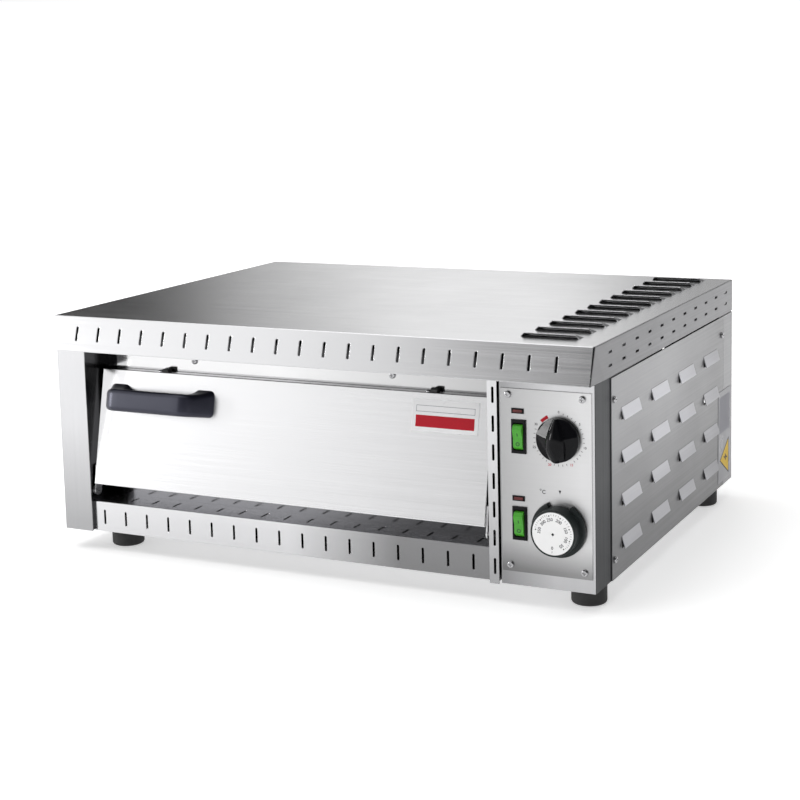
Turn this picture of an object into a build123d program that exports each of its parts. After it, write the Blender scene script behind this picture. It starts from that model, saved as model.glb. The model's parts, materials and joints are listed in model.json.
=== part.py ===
from build123d import *
import math
import os

# Countertop pizza oven with a bottom-hinged flap door and a control compartment on its right.
# X runs left to right, Y front to back, Z up. While modelling, X = 0 is the hood's middle, Y = 0 the
# hood's front top edge and Z = 0 the worktop; main() then centres the finished oven on its origin.

# ---- Driving dimensions, in millimetres ---------------------------------------------------------

# Hood
hood_width = 580.0
hood_depth = 444.4
hood_top = 243.0
hood_bottom = 209.0
hood_sheet = 0.8
fascia_run = 10.3             # how far the front fascia leans out towards its bottom edge
corner_tuck = 1.2             # how far the fascia's bottom corners are folded in
corner_fold = 25.0            # length of the folded corner facet along the bottom edge

# Cabinet
floor = 20.0                  # underside of the cabinet above the worktop
front = 0.7                   # front plane of the post, upright and control housing
rear = hood_depth - hood_sheet
half = hood_width / 2 - hood_sheet
top = 242.0                   # top of the cabinet sheets, just under the hood
sheet = 1.0
post_inner = -255.9           # left side of the door opening
upright_left = 186.8          # right side of the door opening
upright_right = 196.3
housing_left = 198.9
rail_front = 5.1
rail_top = 51.0
frame_y = 38.0                # front plane of the chamber front
panel_front = 42.0            # louvred side panel, front to back
panel_rear = 409.8
panel_top = 207.5
slot_pitch = 25.74
slot_width = 2.4
slot_length = 15.0

# Baking chamber
chamber_left = -232.0
chamber_right = 162.0
chamber_rear = 400.0
chamber_floor = 62.0
chamber_ceiling = 184.0
mouth_left = -228.0
mouth_right = 158.0
mouth_bottom = 80.0
mouth_top = 178.0
stone_bottom = 78.0
stone_top = 92.0
element_radius = 4.0
lower_element_z = 70.0
upper_element_z = 174.0

# Door
door_left = -252.5
door_right = 181.8
door_bottom = 69.5
door_top = 185.4
door_bottom_y = 3.0
door_top_y = 28.0
door_back = 37.0
pivot_y = 10.0
pivot_z = 62.0
pin_radius = 3.0
running_gap = 0.05            # radial clearance of a pin or shaft in its bush

# Controls
plate_front = -0.3            # front face of the control plate
plate_left = 200.3
plate_right = 286.5
plate_bottom = 32.8
plate_top = 201.5
switch_x = 217.9
switch_heights = {"lower": 78.2, "upper": 158.0}
lamp_x = 217.0
lamp_heights = {"lower": 101.2, "upper": 181.3}
timer_x = 255.9
timer_z = 158.4
thermostat_x = 255.7
thermostat_z = 76.8
shaft_radius = 3.0
bush_radius = 5.0

# Feet
foot_radius = 16.5
foot_places = [(-238.0, 37.0), (269.6, 37.0), (-238.0, 398.0), (269.6, 398.0)]
foot_names = ["front_left_foot", "front_right_foot", "rear_left_foot", "rear_right_foot"]

# Cable gland
gland_x = 245.0
gland_z = 46.0
gland_bore = 5.0
gland_thread = 9.0
gland_mouth = 458.0


# ---- Helpers -------------------------------------------------------------------------------------

def block(x0, x1, y0, y1, z0, z1):
    """Box between two corners."""
    return Pos(x0, y0, z0) * Box(x1 - x0, y1 - y0, z1 - z0, align=(Align.MIN,) * 3)


def rod_x(x0, x1, y, z, radius):
    """Cylinder along X."""
    aligned = (Align.CENTER, Align.CENTER, Align.MIN)
    return Pos(x0, y, z) * Rot(0, 90, 0) * Cylinder(radius, x1 - x0, align=aligned)


def rod_y(x, y0, y1, z, radius):
    """Cylinder along Y."""
    aligned = (Align.CENTER, Align.CENTER, Align.MIN)
    return Pos(x, y0, z) * Rot(-90, 0, 0) * Cylinder(radius, y1 - y0, align=aligned)


def rod_z(x, y, z0, z1, radius):
    """Cylinder along Z."""
    aligned = (Align.CENTER, Align.CENTER, Align.MIN)
    return Pos(x, y, z0) * Cylinder(radius, z1 - z0, align=aligned)


def outline_x(points, x0, x1):
    """Outline of (y, z) points drawn out along X."""
    return extrude(Plane.YZ.offset(x0) * Polygon(*points, align=None), x1 - x0, dir=(1, 0, 0))


def outline_y(points, y0, y1):
    """Outline of (x, z) points drawn out along Y."""
    plane = Plane(origin=(0, y1, 0), x_dir=(1, 0, 0), z_dir=(0, -1, 0))
    return extrude(plane * Polygon(*points, align=None), y1 - y0, dir=(0, -1, 0))


def pan_screw(head_radius, head_height, shank_radius, length):
    """Pan-head screw along Z with a cross recess; its head sits on Z = 0 and its shank goes down."""
    head = Cylinder(head_radius, head_height, align=(Align.CENTER, Align.CENTER, Align.MIN))
    head = fillet(head.edges().sort_by(Axis.Z)[-1], head_height * 0.6)
    shank = rod_z(0, 0, -length, 0, shank_radius)
    bar = Box(head_radius * 1.1, head_radius * 0.24, head_height)
    recess = Pos(0, 0, head_height) * (bar + Rot(0, 0, 90) * bar)
    return head + shank - recess


def screws_at(places, turn, head_radius=3.2, head_height=2.0, shank_radius=1.75, length=6.0):
    """Identical screws at a list of places, each turned the same way."""
    screw = pan_screw(head_radius, head_height, shank_radius, length)
    return Compound(children=[Pos(*place) * turn * screw for place in places])


FACE_FRONT = Rot(90, 0, 0)     # screw head towards -Y
FACE_REAR = Rot(-90, 0, 0)     # screw head towards +Y
FACE_RIGHT = Rot(0, 90, 0)     # screw head towards +X


def slots_y(centres, z, length, width, y0, y1):
    """Round-ended vertical slots through a sheet that faces Y."""
    plane = Plane(origin=(0, y1, z), x_dir=(1, 0, 0), z_dir=(0, -1, 0))
    sketch = [Pos(x, 0) * SlotOverall(length, width, rotation=90) for x in centres]
    return extrude(plane * Sketch(children=sketch), y1 - y0)


def row(first, count, pitch):
    """Evenly spaced positions."""
    return [first + pitch * i for i in range(count)]


# ---- Hood ----------------------------------------------------------------------------------------

louvre_left = 207.0
louvre_right = 264.0
louvre_first = 32.5
louvre_pitch = 34.9
louvre_count = 12
louvre_rise = 3.8
louvre_run = 11.0


def louvre_bump(y, inset):
    """Pressed louvre, highest at its open front; inset gives the hollow under its skin."""
    x0 = louvre_left + inset
    x1 = louvre_right - inset
    rise = louvre_rise - inset
    run = louvre_run - 2 * inset
    side = [(y, hood_top - 0.01), (y, hood_top + rise), (y + run, hood_top - 0.01)]
    foot_z = hood_top - 0.02
    face = [(x0, foot_z), (x1, foot_z), (x1 - rise, hood_top + rise), (x0 + rise, hood_top + rise)]
    return outline_x(side, x0, x1) & outline_y(face, y - 1, y + run + 1)


def fascia_plane():
    """Outer face of the sloping front fascia, with its local Y up the slope."""
    drop = hood_top - hood_bottom
    return Plane(origin=(0, 0, hood_top), x_dir=(1, 0, 0), z_dir=(0, -drop, fascia_run))


def fascia_slots():
    """Row of slots through the sloping fascia."""
    middle = -17.5
    sketch = [Pos(x, middle) * SlotOverall(slot_length, slot_width, rotation=90)
              for x in row(-10.05 * slot_pitch, 21, slot_pitch)]
    return extrude(fascia_plane() * Sketch(children=sketch), 3, both=True)


def side_fascia_slots():
    """Two rows of short slots through both side fascias."""
    cuts = []
    for z in (232.1, 219.9):
        for y in row(40.0, 11, 37.8):
            cuts.append(block(-hood_width / 2 - 1, hood_width / 2 + 1, y - 4.7, y + 4.7, z - 1.1, z + 1.1))
    inner = block(-200, 200, 0, hood_depth, hood_bottom, hood_top)
    return Compound(children=cuts) - inner


def hood_shape(inset):
    """Hood's outside, or its inside when inset by the sheet thickness."""
    slope = fascia_run / (hood_top - hood_bottom)
    back_set = inset * math.sqrt(1 + slope * slope)
    low = hood_bottom - (5 if inset else 0)
    high = hood_top - inset
    points = [
        (back_set - (hood_top - high) * slope, high),
        (hood_depth - inset, high),
        (hood_depth - inset, low),
        (back_set - (hood_top - low) * slope, low),
    ]
    edge = hood_width / 2 - inset
    shape = outline_x(points, -edge, edge)
    if not inset:
        shape = fillet(shape.faces().sort_by(Axis.Z)[-1].edges(), 1.0)
    return shape


def corner_cut(side, inset):
    """Wedge that a folded-in front corner takes off the hood."""
    edge = (hood_width / 2 - inset) * side
    peak = (edge, inset, hood_top - inset)
    toe = (edge - corner_tuck * side, -fascia_run + inset, hood_bottom)
    heel = (edge, corner_fold + inset, hood_bottom)
    normal = (Vector(*toe) - Vector(*peak)).cross(Vector(*heel) - Vector(*peak))
    if normal.X * side < 0:
        normal = normal * -1
    plane = Plane(origin=peak, z_dir=normal)
    return plane * Box(200, 200, 20, align=(Align.CENTER, Align.CENTER, Align.MIN))


def top_cover():
    """Folded hood: top sheet, sloping front fascia, side and rear fascias, vents."""
    outer = hood_shape(0)
    inner = hood_shape(hood_sheet)
    for side in (-1, 1):
        outer -= corner_cut(side, 0)
        inner -= corner_cut(side, hood_sheet)
    hood = outer - inner
    for y in row(louvre_first, louvre_count, louvre_pitch):
        hood += louvre_bump(y, 0)
    for y in row(louvre_first, louvre_count, louvre_pitch):
        mouth = louvre_bump(y, hood_sheet)
        hollow_end = y + louvre_run - 2.5
        lip_top = hood_top + louvre_rise - 1.6
        hollow = block(louvre_left + 2, louvre_right - 2, y + 0.01, hollow_end, hood_top - 2,
                       hood_top + 0.1)
        lip = block(louvre_left + 3, louvre_right - 3, y - 0.5, y + 0.5, hood_top + 0.05, lip_top)
        hood -= mouth + hollow + lip
    hood -= fascia_slots()
    hood -= side_fascia_slots()
    vent_places = row(-10 * slot_pitch, 21, slot_pitch)
    vents = slots_y(vent_places, 226, slot_length, slot_width, rear - 2, hood_depth + 1)
    return hood - vents - hood_screw_holes()


hood_screw_x = (-235.0, -75.0, 75.0, 235.0)
hood_screw_z = 213.0


def hood_screw_holes():
    """Holes for the screws that hold the hood to the back panel."""
    return Compound(children=[rod_y(x, rear - 3, hood_depth + 1, hood_screw_z, 1.75) for x in hood_screw_x])


# ---- Cabinet -------------------------------------------------------------------------------------

def hinge_holes(side_x):
    """Hole for a hinge bush through the sheet at one side of the door opening."""
    return rod_x(side_x - 3, side_x + 3, pivot_y, pivot_z, bush_radius)


def hood_relief(side):
    """Space that the hood's folded-in corner takes from a casing beneath it."""
    low, high = sorted((side * (half - 1.2), side * (half + 1)))
    return block(low, high, front - 1, corner_fold + 3, hood_bottom - 0.4, top + 1)


def left_casing():
    """Left side, front post and its return in one folded sheet."""
    side = block(-half, -half + sheet, front, rear - sheet, floor, top)
    face = block(-half, post_inner, front, front + sheet, floor, top)
    inner = block(post_inner - sheet, post_inner, front, frame_y, floor + sheet, top)
    return side + face + inner - hinge_holes(post_inner) - hood_relief(-1)


def slotted_upright():
    """Channel between the door and the controls, with air slots down its front."""
    face = block(upright_left, upright_right, front, front + sheet, floor - 1.5, top)
    left = block(upright_left, upright_left + sheet, front, frame_y, floor + sheet, top)
    right = block(upright_right - sheet, upright_right, front, frame_y, floor + sheet, top)
    channel = face + left + right
    for z in row(floor + 15.0, 7, 26.5):
        channel -= slots_y([192.3], z, slot_length, slot_width, front - 1, front + 3)
    return channel - hinge_holes(upright_left)


def front_rail():
    """Rail under the door: slotted front, slotted ledge and a foot that meets the base."""
    left = post_inner
    right = upright_left
    face = block(left, right, rail_front, rail_front + sheet, floor, rail_top)
    ledge = block(left, right, rail_front, frame_y, rail_top - sheet, rail_top)
    foot = block(left, right, rail_front, 22, floor, floor + sheet)
    rail = face + ledge + foot
    rail = fillet(rail.edges().filter_by(Axis.X).group_by(Axis.Z)[-1].sort_by(Axis.Y)[0], 0.8)
    centres = row(-242.9, 17, slot_pitch)
    rail -= slots_y(centres, 35.2, slot_length, slot_width, rail_front - 1, rail_front + 3)
    plane = Plane.XY.offset(rail_top - 3)
    sketch = [Pos(x, 22.2) * SlotOverall(slot_length, slot_width, rotation=90) for x in centres]
    return rail - extrude(plane * Sketch(children=sketch), 6)


rim_height = 11.0


def base_pan():
    """Bottom sheet with a low rim at the back and both sides."""
    edge = half - sheet
    pan = block(-edge, edge, 22, rear - sheet, floor, floor + sheet)
    pan += block(-edge, -edge + sheet, 40, rear - sheet, floor, floor + rim_height)
    pan += block(edge - sheet, edge, 54, 394, floor, floor + rim_height)
    pan += block(-edge, edge - 14, rear - 2 * sheet, rear - sheet, floor, floor + rim_height)
    for x, y in foot_places:
        pan -= rod_z(x, y, floor - 1, floor + 2, 2.7)
    vent_places = [(x, y) for x in row(210, 3, 22) for y in row(120, 9, 24)]
    slots = [Pos(x, y) * SlotOverall(16, 3, rotation=90) for x, y in vent_places]
    return pan - extrude(Plane.XY.offset(floor - 1) * Sketch(children=slots), 4)


def chamber_front():
    """Sheet around the chamber mouth, with the lintel above it and the apron below."""
    plate = block(-half + sheet, upright_right, frame_y, frame_y + sheet, floor + sheet, top)
    plate -= block(mouth_left, mouth_right, frame_y - 1, frame_y + 2, mouth_bottom, mouth_top)
    nut_x = foot_places[0][0]
    plate -= block(nut_x - 8, nut_x + 8, frame_y - 1, frame_y + 2, floor, floor + 8)
    for x, z in lintel_screw_places:
        plate -= rod_y(x, frame_y - 1, frame_y + 2, z, 1.75)
    return plate


lintel_screw_places = [(-147.5, 197.4), (74.0, 197.4)]


def lintel_screws():
    """Screws in the lintel above the door."""
    places = [(x, frame_y, z) for x, z in lintel_screw_places]
    return screws_at(places, FACE_FRONT, length=4.0)


def compartment_wall():
    """Wall between the hot side and the electrical compartment."""
    wall = block(upright_right, upright_right + sheet, frame_y, rear - sheet, floor + sheet, top)
    wall -= block(upright_right - 1, upright_right + 3, rear - 3, rear, floor, floor + 16)
    for z in (lower_element_z, upper_element_z):
        for y in element_ends:
            wall -= rod_x(upright_right - 1, upright_right + 3, y, z, element_radius + 0.3)
    return wall - rod_x(upright_right - 1, upright_right + 3, probe_y, probe_z, 1.6)


def control_cutouts(y0, y1):
    """Openings for the switches, lamps and spindle bushes."""
    cuts = []
    for z in switch_heights.values():
        cuts.append(block(switch_x - 5.9, switch_x + 5.9, y0, y1, z - 14.0, z + 14.0))
    for z in lamp_heights.values():
        cuts.append(block(lamp_x - 5.0, lamp_x + 5.0, y0, y1, z - 1.9, z + 1.9))
    for x, z in ((timer_x, timer_z), (thermostat_x, thermostat_z)):
        cuts.append(rod_y(x, y0, y1, z, bush_radius + 0.1))
    for x, z in plate_screw_places:
        cuts.append(rod_y(x, y0, y1, z, 1.75))
    return Compound(children=cuts)


plate_screw_places = [(207.7, 195.8), (278.1, 195.8), (208.4, 38.8), (279.2, 38.8)]


def control_housing():
    """Front and side faces of the electrical compartment in one folded sheet."""
    face = block(housing_left, half, front, front + sheet, floor, top)
    left = block(housing_left, housing_left + sheet, front, frame_y, floor + sheet, top)
    side = block(half - sheet, half, front, 54, floor, top)
    foot = block(housing_left, half, front, 22, floor, floor + sheet)
    housing = face + left + side + foot
    housing = fillet(housing.edges().filter_by(Axis.Z).filter_by(lambda e: corner_edge(e)), 0.9)
    for y, z in side_screw_places[:2]:
        housing -= rod_x(half - 3, half + 1, y, z, 1.75)
    return housing - control_cutouts(front - 1, front + 2) - hood_relief(1)


def corner_edge(edge):
    """True for the housing's outer front corner."""
    middle = edge.center()
    return abs(middle.X - half) < 0.01 and abs(middle.Y - front) < 0.01


def control_plate():
    """Bright plate that carries the controls."""
    plate = block(plate_left, plate_right, plate_front, front, plate_bottom, plate_top)
    return plate - control_cutouts(plate_front - 1, front + 1)


def control_plate_screws():
    """Screws at the control plate's corners."""
    places = [(x, plate_front, z) for x, z in plate_screw_places]
    return screws_at(places, FACE_FRONT)


side_screw_places = [(49.0, 187.0), (49.0, 38.4), (402.0, 187.7)]
flap_length = 50.0
flap_drop = 12.0
flap_out = 3.4


def louvre_flap(y, z):
    """Lanced flap that hangs out from the panel, open below and at both ends."""
    outer = half + sheet
    tip = outer + flap_out
    points = [(outer - sheet, z), (outer, z), (tip, z - flap_drop), (tip - 0.9, z - flap_drop)]
    return outline_y(points, y, y + flap_length)


def side_panel():
    """Louvred cover over the electrical compartment."""
    outer = half + sheet
    panel = block(half, outer, panel_front, panel_rear, floor, panel_top)
    for z in row(55.5, 4, 40.25):
        for y in row(68.8, 4, 88.2):
            panel -= block(half - 1, outer + 1, y, y + flap_length, z - flap_drop, z - 0.9)
            panel += louvre_flap(y, z)
    for y, z in side_screw_places:
        panel -= rod_x(half - 1, outer + 1, y, z, 1.75)
    return panel


def side_panel_screws():
    """Screws along the side panel's front and rear edges."""
    return screws_at([(half + sheet, y, z) for y, z in side_screw_places], FACE_RIGHT, length=5.0)


def rear_post():
    """Strip that the side panel's rear screws go into."""
    post = block(half - sheet, half, 395, rear - sheet, floor + sheet, top)
    post += block(half - 11, half, 395, 396, floor + sheet, top)
    for y, z in side_screw_places[2:]:
        post -= rod_x(half - 3, half + 1, y, z, 1.75)
    return post


def back_panel():
    """Back sheet with a flange that wraps round the right rear corner."""
    panel = block(-half, half, rear - sheet, rear, floor, top)
    panel += block(-half, half + sheet, rear - sheet, rear, floor, panel_top)
    panel += block(half, half + sheet, panel_rear + 0.6, rear, floor, panel_top)
    panel -= rod_y(gland_x, rear - 3, rear + 1, gland_z, gland_thread)
    for z in (110, 135, 160):
        panel -= slots_y(row(212, 6, 12), z, slot_length, slot_width, rear - 3, rear + 1)
    for x, z in rear_screw_places:
        panel -= rod_y(x, rear - 3, rear + 1, z, 1.75)
    return panel - hood_screw_holes()


rear_screw_places = [(-282.0, 40.0), (-282.0, 190.0), (-60.0, 34.5), (120.0, 34.5), (282.0, 190.0)]


def rear_screws():
    """Screws that hold the back panel, and the hood to it."""
    panel_places = [(x, rear, z) for x, z in rear_screw_places]
    hood_places = [(x, hood_depth, hood_screw_z) for x in hood_screw_x]
    return screws_at(panel_places + hood_places, FACE_REAR, length=5.0)


def cable_gland():
    """Gland with a hexagonal body outside the back panel and a thread through it."""
    flange = rod_y(gland_x, rear, rear + 2, gland_z, 13.5)
    body = Pos(gland_x, rear + 2, gland_z) * Rot(-90, 0, 0) * extrude(RegularPolygon(12.5, 6), 7)
    dome = rod_y(gland_x, rear + 9, gland_mouth, gland_z, 10.5)
    dome = fillet(dome.edges().sort_by(Axis.Y)[-1], 2.0)
    thread = rod_y(gland_x, rear - 12, rear, gland_z, gland_thread)
    nut = Pos(gland_x, rear - sheet - 5, gland_z) * Rot(-90, 0, 0) * extrude(RegularPolygon(13.0, 6), 5)
    bore = rod_y(gland_x, rear - 14, gland_mouth + 2, gland_z, gland_bore)
    return flange + body + dome + thread + nut - bore


def rating_plate():
    """Blank plate across the right rear corner."""
    return block(half + sheet, half + sheet + 0.3, 389.5, 438.0, 25.0, 126.0)


def foot(x, y):
    """Rubber foot with a rounded tread and a recess for its screw."""
    body = rod_z(x, y, 0, floor, foot_radius)
    body = fillet(body.edges().sort_by(Axis.Z)[0], 3.0)
    return body - rod_z(x, y, -1, 7, 6.0) - rod_z(x, y, 6, floor + 1, 2.6)


def foot_screws():
    """Screw and nut through each foot and the base pan."""
    screws = []
    for x, y in foot_places:
        screw = Pos(x, y, 7) * Rot(180, 0, 0) * pan_screw(4.6, 2.6, 2.5, 18.5)
        nut = Pos(x, y, floor + sheet) * extrude(RegularPolygon(4.6, 6), 3.2)
        screws.append(screw + nut)
    return Compound(children=screws)


# ---- Baking chamber ------------------------------------------------------------------------------

element_ends = (90.0, 330.0)
element_exit = 214.0
chamber_sheet = 0.8
probe_y = 56.0
probe_z = 178.0


def chamber_shell():
    """Chamber lining, open at the front."""
    t = chamber_sheet
    shell = block(chamber_left - t, chamber_right + t, frame_y + sheet, chamber_rear + t,
                  chamber_floor - t, chamber_ceiling + t)
    shell -= block(chamber_left, chamber_right, frame_y, chamber_rear, chamber_floor, chamber_ceiling)
    for z in (lower_element_z, upper_element_z):
        for y in element_ends:
            shell -= rod_x(chamber_right - 1, chamber_right + 3, y, z, element_radius + 0.3)
    return shell - rod_x(chamber_right - 1, chamber_right + 3, probe_y, probe_z, 1.6)


def heating_element(z):
    """Sheathed element bent into three loops, with its ceramic ends in the electrical compartment."""
    near, far = element_ends
    step = (far - near) / 3
    left = chamber_left + 24
    turn = chamber_right - 24
    y1 = near + step
    y2 = near + 2 * step
    points = [(element_exit, near, z), (left, near, z), (left, y1, z), (turn, y1, z),
              (turn, y2, z), (left, y2, z), (left, far, z), (element_exit, far, z)]
    path = FilletPolyline(*points, radius=step / 2 - 2)
    section = Plane(origin=points[0], z_dir=(-1, 0, 0)) * Circle(element_radius)
    tube = sweep(section, path=path)
    for y in element_ends:
        tube += rod_x(element_exit, element_exit + 7, y, z, 6.0)
        tube += rod_x(element_exit + 7, element_exit + 16, y, z, 2.0)
    return tube


def stone_deck():
    """Refractory baking stone with eased edges."""
    stone = block(chamber_left + 5, chamber_right - 5, 45, chamber_rear - 5, stone_bottom, stone_top)
    return chamfer(stone.edges().filter_by(Axis.Z), 3)


def stone_supports():
    """Angle rails along both chamber sides that the stone lies on."""
    rails = []
    for x0, side in ((chamber_left, 1), (chamber_right, -1)):
        low, high = sorted((x0, x0 + side * 16))
        leg_low, leg_high = sorted((x0, x0 + side * 1.5))
        shelf = block(low, high, 44, chamber_rear - 2, stone_bottom - 1.5, stone_bottom)
        leg = block(leg_low, leg_high, 44, chamber_rear - 2, chamber_floor, stone_bottom)
        rail = shelf + leg
        for y in element_ends:
            rail -= block(low - 1, high + 1, y - 6, y + 6, chamber_floor - 1, stone_bottom - 3)
        rails.append(rail)
    return Compound(children=rails)


def element_supports():
    """Strips that carry the elements: two on the chamber floor and two hung from its ceiling."""
    strips = []
    low = lower_element_z - element_radius - 0.1
    high = upper_element_z - element_radius - 0.1
    for x in (-150.0, 70.0):
        strips.append(block(x, x + 12, 70, 370, chamber_floor, low))
        strip = block(x, x + 12, 70, 370, high - 1.5, high)
        strip += block(x, x + 12, 70, 71.5, high - 1.5, chamber_ceiling)
        strip += block(x, x + 12, 368.5, 370, high - 1.5, chamber_ceiling)
        strips.append(strip)
    return Compound(children=strips)


wrap_left = -286.0
wrap_right = 195.8
wrap_top = 238.0
wool_front = frame_y + sheet + 4
wool_gap = 0.4


def insulation_wrap():
    """Mineral wool over the chamber's top and both sides."""
    t = chamber_sheet + wool_gap
    wool = block(wrap_left, wrap_right, wool_front, chamber_rear + t, chamber_floor - t, wrap_top)
    hollow_rear = chamber_rear + 2 * t
    wool -= block(chamber_left - t, chamber_right + t, frame_y, hollow_rear, 0, chamber_ceiling + t)
    for z in (lower_element_z, upper_element_z):
        for y in element_ends:
            wool -= rod_x(chamber_right, wrap_right + 1, y, z, element_radius + 0.6)
    return wool - rod_x(chamber_right, wrap_right + 1, probe_y, probe_z, 2.0)


def insulation_floor():
    """Mineral wool between the chamber and the base."""
    high = chamber_floor - chamber_sheet - 2 * wool_gap
    return block(wrap_left, wrap_right, wool_front, chamber_rear, 27.0, high)


def insulation_rear():
    """Mineral wool behind the chamber."""
    return block(wrap_left, wrap_right, chamber_rear + 1.8, rear - 6.4, 32.0, wrap_top)


# ---- Door ----------------------------------------------------------------------------------------

door_lean = (door_top_y - door_bottom_y) / (door_top - door_bottom)


def door_plane():
    """Outer face of the door, with its local Y up the door from its bottom edge."""
    rise = door_top - door_bottom
    return Plane(origin=(0, door_bottom_y, door_bottom), x_dir=(1, 0, 0),
                 z_dir=(0, -rise, door_top_y - door_bottom_y))


def door_wedge(inset):
    """Solid wedge of the door, or its hollow when inset."""
    back_set = inset * math.sqrt(1 + door_lean * door_lean)
    low = door_bottom + inset
    high = door_top - inset
    depth = door_back - sheet
    points = [
        (door_bottom_y + (low - door_bottom) * door_lean + back_set, low),
        (door_bottom_y + (high - door_bottom) * door_lean + back_set, high),
        (depth, high),
        (depth, low),
    ]
    return outline_x(points, door_left + inset, door_right - inset)


def door_outer_skin():
    """Leaning front of the door with its top, bottom and side returns."""
    wedge = door_wedge(0)
    front_edges = wedge.faces().sort_by(Axis.Y)[0].edges()
    wedge = fillet(front_edges, 0.8)
    skin = wedge - (door_wedge(sheet) + Pos(0, 0.2, 0) * door_wedge(sheet))
    left = door_left + sheet
    right = door_right - sheet
    skin -= block(left, right, door_back - sheet - 1, door_back, door_bottom + sheet, door_top - sheet)
    for u in handle_screw_u:
        skin -= door_plane() * rod_z(u, handle_up, -3, 2, 2.5)
    for x in bumper_x:
        skin -= rod_z(x, bumper_y, door_top - 3, door_top + 1, 1.5)
    return skin


def door_inner_skin():
    """Flat back of the door."""
    return block(door_left, door_right, door_back - sheet, door_back, door_bottom, door_top)


def door_insulation():
    """Mineral wool inside the door, cut round the handle's screws."""
    wool = door_wedge(sheet + 0.4)
    wool -= block(door_left, door_right, door_back - sheet - 0.4, door_back, door_bottom, door_top)
    for u in handle_screw_u:
        wool -= door_plane() * rod_z(u, handle_up, -12, 2, 6.5)
    for x in bumper_x:
        wool -= block(x - 4, x + 4, bumper_y - 4, bumper_y + 4, door_top - 8, door_top)
    return wool


ear_thick = 1.5


def ear_outline(x0, x1):
    """Hinge ear, round at the pivot and reaching up the side of the door."""
    ear = outline_x([(4.9, 62), (15.1, 62), (22, 88), (8.7, 88)], x0, x1)
    ear += rod_x(x0, x1, pivot_y, pivot_z, 5.4)
    return ear - rod_x(x0 - 1, x1 + 1, pivot_y, pivot_z, pin_radius)


def hinge_ears():
    """Ears on both sides of the door."""
    left = ear_outline(door_left - ear_thick, door_left)
    right = ear_outline(door_right, door_right + ear_thick)
    return Compound(children=[left, right])


def hinge_pins():
    """Pins that stand out of the ears."""
    left = rod_x(post_inner - 9, door_left, pivot_y, pivot_z, pin_radius)
    right = rod_x(door_right, upright_left + 7, pivot_y, pivot_z, pin_radius)
    return Compound(children=[left, right])


def hinge_bushes():
    """Bushes in the sides of the door opening that the pins turn in."""
    bore = pin_radius + running_gap
    left = rod_x(post_inner - 6, post_inner + 1.2, pivot_y, pivot_z, bush_radius)
    left -= rod_x(post_inner - 7, post_inner + 3, pivot_y, pivot_z, bore)
    right = rod_x(upright_left - 1.2, upright_left + 6, pivot_y, pivot_z, bush_radius)
    right -= rod_x(upright_left - 3, upright_left + 7, pivot_y, pivot_z, bore)
    return Compound(children=[left, right])


handle_left = -240.5
handle_right = -116.5
handle_up = 88.0
handle_height = 22.0
handle_reach = 31.0
handle_splay = 13.0             # how far each end leans in between the door and the bar
handle_thick = 11.0
leg_width = 23.0
leg_height = 28.0
leg_step = (4.0, 13.0)          # heights above the door between which the legs slim down
handle_screw_u = (-229.0, -128.0)


def door_handle():
    """Bow handle: a flat bar on two legs that splay and deepen towards the door."""
    left = handle_left
    right = handle_right
    bar = handle_reach - handle_thick
    outer = Polygon((left, 0), (right, 0), (right - handle_splay, handle_reach),
                    (left + handle_splay, handle_reach), align=None)
    outer = fillet(outer.vertices().group_by(Axis.Y)[-1], 10)
    inner = Polygon((left + leg_width, -1), (right - leg_width, -1), (right - leg_width - 4, bar),
                    (left + leg_width + 4, bar), align=None)
    inner = fillet(inner.vertices().group_by(Axis.Y)[-1], 7)
    plan = Plane(origin=(0, 0, 0), x_dir=(1, 0, 0), z_dir=(0, -1, 0))
    bow = extrude(plan * (outer - inner), leg_height / 2, both=True)
    slim = handle_height / 2
    deep = leg_height / 2
    low, high = leg_step
    profile = Polygon((-deep, -1), (-deep, low), (-slim, high), (-slim, handle_reach), (slim, handle_reach),
                      (slim, high), (deep, low), (deep, -1), align=None)
    profile = fillet(profile.vertices().group_by(Axis.Y)[-1], 3.0)
    bow &= extrude(Plane.YZ.offset(left - 1) * profile, right - left + 2, dir=(1, 0, 0))
    bow = Pos(0, handle_up, 0) * bow
    for u in handle_screw_u:
        bow -= rod_z(u, handle_up, -1, 12, 2.5)
    return door_plane() * bow


bumper_x = (-184.5, 114.0)
bumper_y = 32.3


def door_screws():
    """Screws behind the handle and beside the bumpers."""
    turned = [door_plane() * Pos(u, handle_up, -sheet) * Rot(180, 0, 0) for u in handle_screw_u]
    screws = [place * pan_screw(4.4, 2.4, 2.5, 12.0) for place in turned]
    screws += [Pos(x, bumper_y, door_top) * pan_screw(2.8, 1.8, 1.5, 5.0) for x in bumper_x]
    return Compound(children=screws)


def door_bumpers():
    """Rubber stops on the door's top edge, next to their screws."""
    pads = []
    for x in bumper_x:
        pad = block(x + 3.2, x + 10.2, bumper_y - 3, bumper_y + 3.3, door_top, door_top + 3.4)
        pads.append(fillet(pad.edges().group_by(Axis.Z)[-1], 1.2))
    return Compound(children=pads)


def badge_plate():
    """Blank plate on the door's upper right."""
    plate = Pos(134.8, 97.4, 0.15) * Box(68.0, 30.0, 0.3)
    return door_plane() * plate


# ---- Controls ------------------------------------------------------------------------------------

rocker_pivot_y = 2.2
rocker_tilt = 9.0             # either way from the middle
rocker_pin_radius = 1.0
rocker_pin_reach = 5.2        # to the end of each stub, from the middle of the key


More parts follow.
